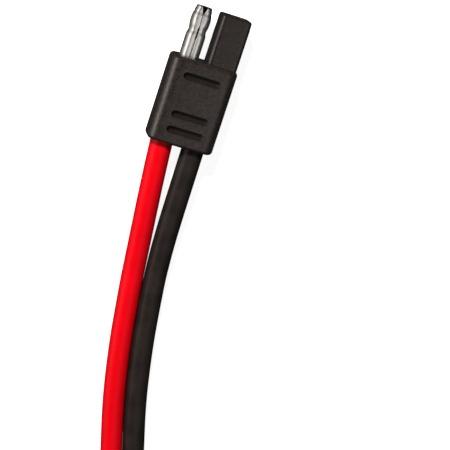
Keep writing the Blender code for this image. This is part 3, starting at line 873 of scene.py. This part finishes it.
def tie_piece(material):
    """A nylon tie: a ribbed strap round the four runs, its head on top and a trimmed tail."""
    low, high = (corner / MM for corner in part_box("bundle_tie"))
    middle_x = (ROUTE_GOES_X + ROUTE_RETURNS_X) / 2
    inner = LEAD_DIAMETER / 2 + CLEARANCE
    half_run = (ROUTE_RETURNS_X - ROUTE_GOES_X) / 2 + SIDE_BY_SIDE
    axis_z = low.z + inner + TIE_THICKNESS
    strap = tie_strap(middle_x, axis_z, tie_path(half_run, inner + TIE_THICKNESS / 2))
    head_low = axis_z + inner + TIE_THICKNESS / 2
    head = rounded_block(
        (middle_x - TIE_HEAD_LENGTH / 2, TIE_Y - TIE_HEAD_WIDTH / 2, head_low),
        (middle_x + TIE_HEAD_LENGTH / 2, TIE_Y + TIE_HEAD_WIDTH / 2, head_low + TIE_HEAD_HEIGHT),
        0.8,
        0.4,
    )
    window = rounded_block(
        (middle_x - 0.75, TIE_Y - 2.0, head_low + 2.6),
        (middle_x + 1.5, TIE_Y + 2.0, head_low + 4),
        0.1,
        0,
        2,
    )
    tail = rounded_block(
        (middle_x - TIE_THICKNESS / 2, TIE_Y - 1.6, head_low + 2.0),
        (middle_x + TIE_THICKNESS / 2, TIE_Y + 1.6, high.z),
        0.15,
        0,
        3,
    )
    bm = carved(head, [], [window])
    soften(bm, 0.12)
    join_in(bm, strap)
    join_in(bm, tail)
    piece = finished(bm, "tie", material)
    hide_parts("bundle_tie")
    return piece


# ---------------------------------------------------------------- materials


def node(tree, kind, **settings):
    """A new node of this kind with these properties."""
    made = tree.nodes.new(kind)
    for name, value in settings.items():
        setattr(made, name, value)
    return made


def new_material(name, roughness, metallic=0.0):
    """A material with its node tree and its Principled shader."""
    material = bpy.data.materials.new(name)
    material.use_nodes = True
    tree = material.node_tree
    shader = tree.nodes["Principled BSDF"]
    shader.inputs["Roughness"].default_value = roughness
    shader.inputs["Metallic"].default_value = metallic
    return material, tree, shader


def place_in(tree, size):
    """A point's place, counted in units of size millimetres along X, Y and Z."""
    coordinates = node(tree, "ShaderNodeTexCoord")
    mapping = node(tree, "ShaderNodeMapping")
    mapping.inputs["Scale"].default_value = tuple(1 / (s * MM) for s in size)
    tree.links.new(coordinates.outputs["Object"], mapping.inputs["Vector"])
    return mapping.outputs["Vector"]


def grain(tree, size, detail=3.0, roughness=0.5):
    """A noise value whose patches are about size millimetres across, from 0 to 1."""
    pattern = node(tree, "ShaderNodeTexNoise")
    pattern.inputs["Scale"].default_value = 1.0
    pattern.inputs["Detail"].default_value = detail
    pattern.inputs["Roughness"].default_value = roughness
    tree.links.new(place_in(tree, size), pattern.inputs["Vector"])
    return pattern.outputs["Fac"]


def ramp(tree, value, low, high):
    """Maps a value of 0.3 to 0.7 onto low to high."""
    change = node(tree, "ShaderNodeMapRange")
    change.inputs["From Min"].default_value = 0.3
    change.inputs["From Max"].default_value = 0.7
    change.inputs["To Min"].default_value = low
    change.inputs["To Max"].default_value = high
    tree.links.new(value, change.inputs["Value"])
    return change.outputs["Result"]


def colour_between(tree, value, first, second):
    """A colour that goes from first to second as the value goes from 0.3 to 0.7."""
    mix = node(tree, "ShaderNodeMix", data_type="RGBA")
    mix.inputs["A"].default_value = (*first, 1.0)
    mix.inputs["B"].default_value = (*second, 1.0)
    tree.links.new(ramp(tree, value, 0.0, 1.0), mix.inputs["Factor"])
    return mix.outputs["Result"]


def bump_from(tree, value, depth, before=None):
    """A normal bent by the value as if it were depth millimetres high, on top of another."""
    bump = node(tree, "ShaderNodeBump")
    bump.inputs["Strength"].default_value = 1.0
    bump.inputs["Distance"].default_value = depth * MM
    tree.links.new(value, bump.inputs["Height"])
    if before is not None:
        tree.links.new(before, bump.inputs["Normal"])
    return bump.outputs["Normal"]


def moulded_plastic(name, dark, light, roughness, grain_size, grain_depth):
    """Moulded plastic: an eroded skin whose pits are darker, and patches that are glossier.

    Where a mesh has a "sunk" layer, the plastic there is painted darker as shade, and is duller.
    """
    material, tree, shader = new_material(name, roughness)
    shader.inputs["Specular IOR Level"].default_value = 0.8
    cloud = grain(tree, (3.0, 3.0, 3.0), 2.0)
    skin = grain(tree, (grain_size,) * 3, 3.0, 0.6)
    # painted shade: the slots get a darker tint that stands in for the shadow in them
    sunk = node(tree, "ShaderNodeAttribute", attribute_name="sunk")
    mix = node(tree, "ShaderNodeMix", data_type="RGBA")
    mix.inputs["B"].default_value = (*(SLOT_PAINTED_SHADE * channel for channel in dark), 1.0)
    tree.links.new(sunk.outputs["Fac"], mix.inputs["Factor"])
    tree.links.new(colour_between(tree, skin, dark, light), mix.inputs["A"])
    tree.links.new(mix.outputs["Result"], shader.inputs["Base Color"])
    duller = node(tree, "ShaderNodeMath", operation="MULTIPLY_ADD", use_clamp=True)
    duller.inputs[1].default_value = SLOT_SKIN_DULLNESS
    tree.links.new(sunk.outputs["Fac"], duller.inputs[0])
    tree.links.new(ramp(tree, cloud, roughness - 0.03, roughness + 0.04), duller.inputs[2])
    tree.links.new(duller.outputs["Value"], shader.inputs["Roughness"])
    tree.links.new(bump_from(tree, skin, grain_depth), shader.inputs["Normal"])
    return material


def plated_metal(name, dark, light, roughness):
    """Plated sheet: faint drawing lines along it, soft mottling and a tarnished inner face."""
    material, tree, shader = new_material(name, roughness, 1.0)
    lines = grain(tree, (0.05, 2.5, 0.05), 2.0)
    mottle = grain(tree, (0.6, 1.0, 0.6), 3.0)
    plating = colour_between(tree, mottle, dark, light)
    inside = node(tree, "ShaderNodeAttribute", attribute_name="inside")
    mix = node(tree, "ShaderNodeMix", data_type="RGBA")
    mix.inputs["B"].default_value = (0.05, 0.045, 0.04, 1.0)
    tree.links.new(inside.outputs["Fac"], mix.inputs["Factor"])
    tree.links.new(plating, mix.inputs["A"])
    tree.links.new(mix.outputs["Result"], shader.inputs["Base Color"])
    gloss = ramp(tree, mottle, roughness - 0.05, roughness + 0.07)
    tree.links.new(gloss, shader.inputs["Roughness"])
    dents = bump_from(tree, mottle, 0.002)
    tree.links.new(bump_from(tree, lines, 0.0006, dents), shader.inputs["Normal"])
    return material


def lead_jacket(name, dark, light, roughness):
    """Extruded PVC: faint lines along the lead, a slow change of gloss and a fine skin."""
    material, tree, shader = new_material(name, roughness)
    shader.inputs["Specular IOR Level"].default_value = 0.2
    around = node(tree, "ShaderNodeAttribute", attribute_name="around")
    along = node(tree, "ShaderNodeAttribute", attribute_name="along")
    stretched = node(tree, "ShaderNodeMath", operation="MULTIPLY")
    stretched.inputs[1].default_value = 18.0
    tree.links.new(along.outputs["Fac"], stretched.inputs[0])
    offset = node(tree, "ShaderNodeCombineXYZ")
    tree.links.new(stretched.outputs["Value"], offset.inputs["Z"])
    place = node(tree, "ShaderNodeVectorMath", operation="ADD")
    tree.links.new(around.outputs["Vector"], place.inputs[0])
    tree.links.new(offset.outputs["Vector"], place.inputs[1])
    lines = node(tree, "ShaderNodeTexNoise")
    lines.inputs["Scale"].default_value = 9.0
    lines.inputs["Detail"].default_value = 3.0
    tree.links.new(place.outputs["Vector"], lines.inputs["Vector"])
    skin = grain(tree, (0.12, 0.12, 0.12), 3.0)
    cloud = grain(tree, (4.0, 4.0, 4.0), 2.0)
    tree.links.new(colour_between(tree, cloud, dark, light), shader.inputs["Base Color"])
    gloss = ramp(tree, cloud, roughness - 0.03, roughness + 0.04)
    tree.links.new(gloss, shader.inputs["Roughness"])
    drawn = bump_from(tree, lines.outputs["Fac"], 0.02)
    tree.links.new(bump_from(tree, skin, 0.003, drawn), shader.inputs["Normal"])
    return material


def bare_copper(name, dark, light, roughness):
    """Copper strands with a little tarnish."""
    material, tree, shader = new_material(name, roughness, 1.0)
    tarnish = grain(tree, (0.5, 0.5, 0.5), 3.0)
    tree.links.new(colour_between(tree, tarnish, dark, light), shader.inputs["Base Color"])
    gloss = ramp(tree, tarnish, roughness - 0.05, roughness + 0.1)
    tree.links.new(gloss, shader.inputs["Roughness"])
    return material


# ---------------------------------------------------------------- stage


def camera():
    """The camera, aimed and leaned as the driving values say."""
    data = bpy.data.cameras.new("camera")
    data.sensor_width = 36.0
    data.angle = math.radians(CAMERA_FIELD)
    data.clip_start = 0.01
    data.clip_end = 20.0
    eye = bpy.data.objects.new("camera", data)
    bpy.context.scene.collection.objects.link(eye)
    azimuth, elevation = math.radians(CAMERA_AZIMUTH), math.radians(CAMERA_ELEVATION)
    flat = math.cos(elevation)
    back = Vector((math.sin(azimuth) * flat, -math.cos(azimuth) * flat, math.sin(elevation)))
    mating = Vector((0, 1, 0))
    across = mating - back * mating.dot(back)
    up = Matrix.Rotation(math.radians(CAMERA_LEAN), 3, back) @ across.normalized()
    right = up.cross(back)
    basis = Matrix((right, up, back)).transposed().to_4x4()
    basis.translation = (Vector(CAMERA_AIM) + back * CAMERA_DISTANCE) * MM
    eye.matrix_world = basis
    bpy.context.scene.camera = eye


def area_light(name, place, aim, size, power):
    """A rectangular lamp, in metres and watts."""
    data = bpy.data.lights.new(name, "AREA")
    data.shape = "RECTANGLE"
    data.size, data.size_y = size
    data.energy = power
    lamp = bpy.data.objects.new(name, data)
    bpy.context.scene.collection.objects.link(lamp)
    lamp.location = place
    lamp.rotation_mode = "QUATERNION"
    lamp.rotation_quaternion = (Vector(aim) - Vector(place)).to_track_quat("-Z", "Y")
    return lamp


def smooth_part(tree, value, low, high, low_result, high_result):
    """Eases a value's stretch from low to high into low_result to high_result."""
    change = node(tree, "ShaderNodeMapRange", interpolation_type="SMOOTHSTEP")
    change.inputs["From Min"].default_value = low
    change.inputs["From Max"].default_value = high
    change.inputs["To Min"].default_value = low_result
    change.inputs["To Max"].default_value = high_result
    tree.links.new(value, change.inputs["Value"])
    return change.outputs["Result"]


def light_only(lamp, pieces):
    """Lets a lamp light these pieces and nothing else."""
    receivers = bpy.data.collections.new(f"lit_by_{lamp.name}")
    for piece in pieces:
        receivers.objects.link(piece)
    lamp.light_linking.receiver_collection = receivers


def studio(metal_pieces):
    """A pale floor and backdrop, a bright wall on the left, a key and two soft boxes."""
    world = bpy.data.worlds.new("studio")
    world.use_nodes = True
    bpy.context.scene.world = world
    tree = world.node_tree
    background = tree.nodes["Background"]
    background.inputs["Color"].default_value = (*WARM_WHITE, 1.0)
    direction = node(tree, "ShaderNodeTexCoord")
    parts = node(tree, "ShaderNodeSeparateXYZ")
    tree.links.new(direction.outputs["Generated"], parts.inputs["Vector"])
    left = smooth_part(tree, parts.outputs["X"], *WALL_FADES_IN, 0.0, LEFT_WALL)
    share = smooth_part(tree, parts.outputs["Z"], *WALL_RISES, FLOOR_BOUNCE, 1.0)
    total = node(tree, "ShaderNodeMath", operation="MULTIPLY_ADD")
    total.inputs[2].default_value = DIM_ROOM
    tree.links.new(left, total.inputs[0])
    tree.links.new(share, total.inputs[1])
    tree.links.new(total.outputs["Value"], background.inputs["Strength"])
    area_light("soft_box", (0.32, -0.16, 0.66), (0.0, -0.02, 0.0), (0.7, 0.5), SOFT_BOX_POWER)
    metal_box = area_light(
        "metal_box", (0.10, -0.10, 0.90), (0.0, 0.0, 0.0), (1.5, 1.2), METAL_BOX_POWER
    )
    light_only(metal_box, metal_pieces)
    key = area_light("key", (-0.32, 0.43, 0.57), (0.0, -0.05, 0.0), (0.12, 0.12), KEY_POWER)
    key.visible_glossy = False

    floor = bmesh.new()
    bmesh.ops.create_circle(floor, cap_ends=True, segments=96, radius=STAGE_RADIUS)
    floor_material, tree, shader = new_material("pale_floor", 0.9)
    shader.inputs["Base Color"].default_value = (0.9, 0.9, 0.9, 1.0)
    shader.inputs["Specular IOR Level"].default_value = 0.0
    shader.inputs["Emission Color"].default_value = (1.0, 1.0, 1.0, 1.0)
    shader.inputs["Emission Strength"].default_value = FLOOR_GLOW
    ground = finished(floor, "floor", floor_material)
    for ray in ("diffuse", "glossy", "shadow"):
        setattr(ground, f"visible_{ray}", False)

    dome = bmesh.new()
    bmesh.ops.create_uvsphere(dome, u_segments=64, v_segments=32, radius=STAGE_RADIUS)
    dome_material = bpy.data.materials.new("pale_backdrop")
    dome_material.use_nodes = True
    tree = dome_material.node_tree
    tree.nodes.clear()
    glow = node(tree, "ShaderNodeEmission")
    output = node(tree, "ShaderNodeOutputMaterial")
    tree.links.new(glow.outputs["Emission"], output.inputs["Surface"])
    backdrop = finished(dome, "backdrop", dome_material)
    for ray in ("diffuse", "glossy", "transmission", "volume_scatter", "shadow"):
        setattr(backdrop, f"visible_{ray}", False)


def make_pieces():
    """Makes every finished piece, puts it on its body and returns the ones of bare metal."""
    red = lead_jacket("red_pvc", (0.80, 0.0003, 0.0055), (0.88, 0.0006, 0.0075), 0.42)
    black = lead_jacket("black_pvc", (0.017, 0.0130, 0.0112), (0.026, 0.0205, 0.0178), 0.40)
    copper = bare_copper("copper", (0.55, 0.24, 0.13), (0.85, 0.45, 0.28), 0.3)
    soft = moulded_plastic(
        "soft_black", (0.0110, 0.0076, 0.0060), (0.0350, 0.0262, 0.0220), 0.28, 0.6, 0.045
    )
    hard = moulded_plastic(
        "hard_black", (0.0110, 0.0078, 0.0060), (0.0260, 0.0195, 0.0160), 0.28, 0.5, 0.018
    )
    tin = plated_metal("tin_plate", (0.70, 0.68, 0.65), (0.86, 0.845, 0.81), 0.36)
    nylon = moulded_plastic(
        "black_nylon", (0.010, 0.010, 0.010), (0.014, 0.014, 0.014), 0.4, 0.3, 0.006
    )
    metal_pieces = [pin_piece(tin), socket_piece(tin)]
    for piece in (grip_piece(soft), tower_piece(hard), *metal_pieces, tie_piece(nylon)):
        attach(piece, BODY)
    for colour, side, material in (("red", -1, red), ("black", 1, black)):
        jacket, path = jacket_piece(colour, side, material)
        strands = strands_piece(colour, side, copper)
        metal_pieces.append(strands)
        for piece in (jacket, strands):
            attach(piece, BODY)
    return metal_pieces


def main():
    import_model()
    bpy.context.scene.view_settings.view_transform = "Standard"
    camera()
    studio(make_pieces())
    bpy.context.view_layer.update()


main()
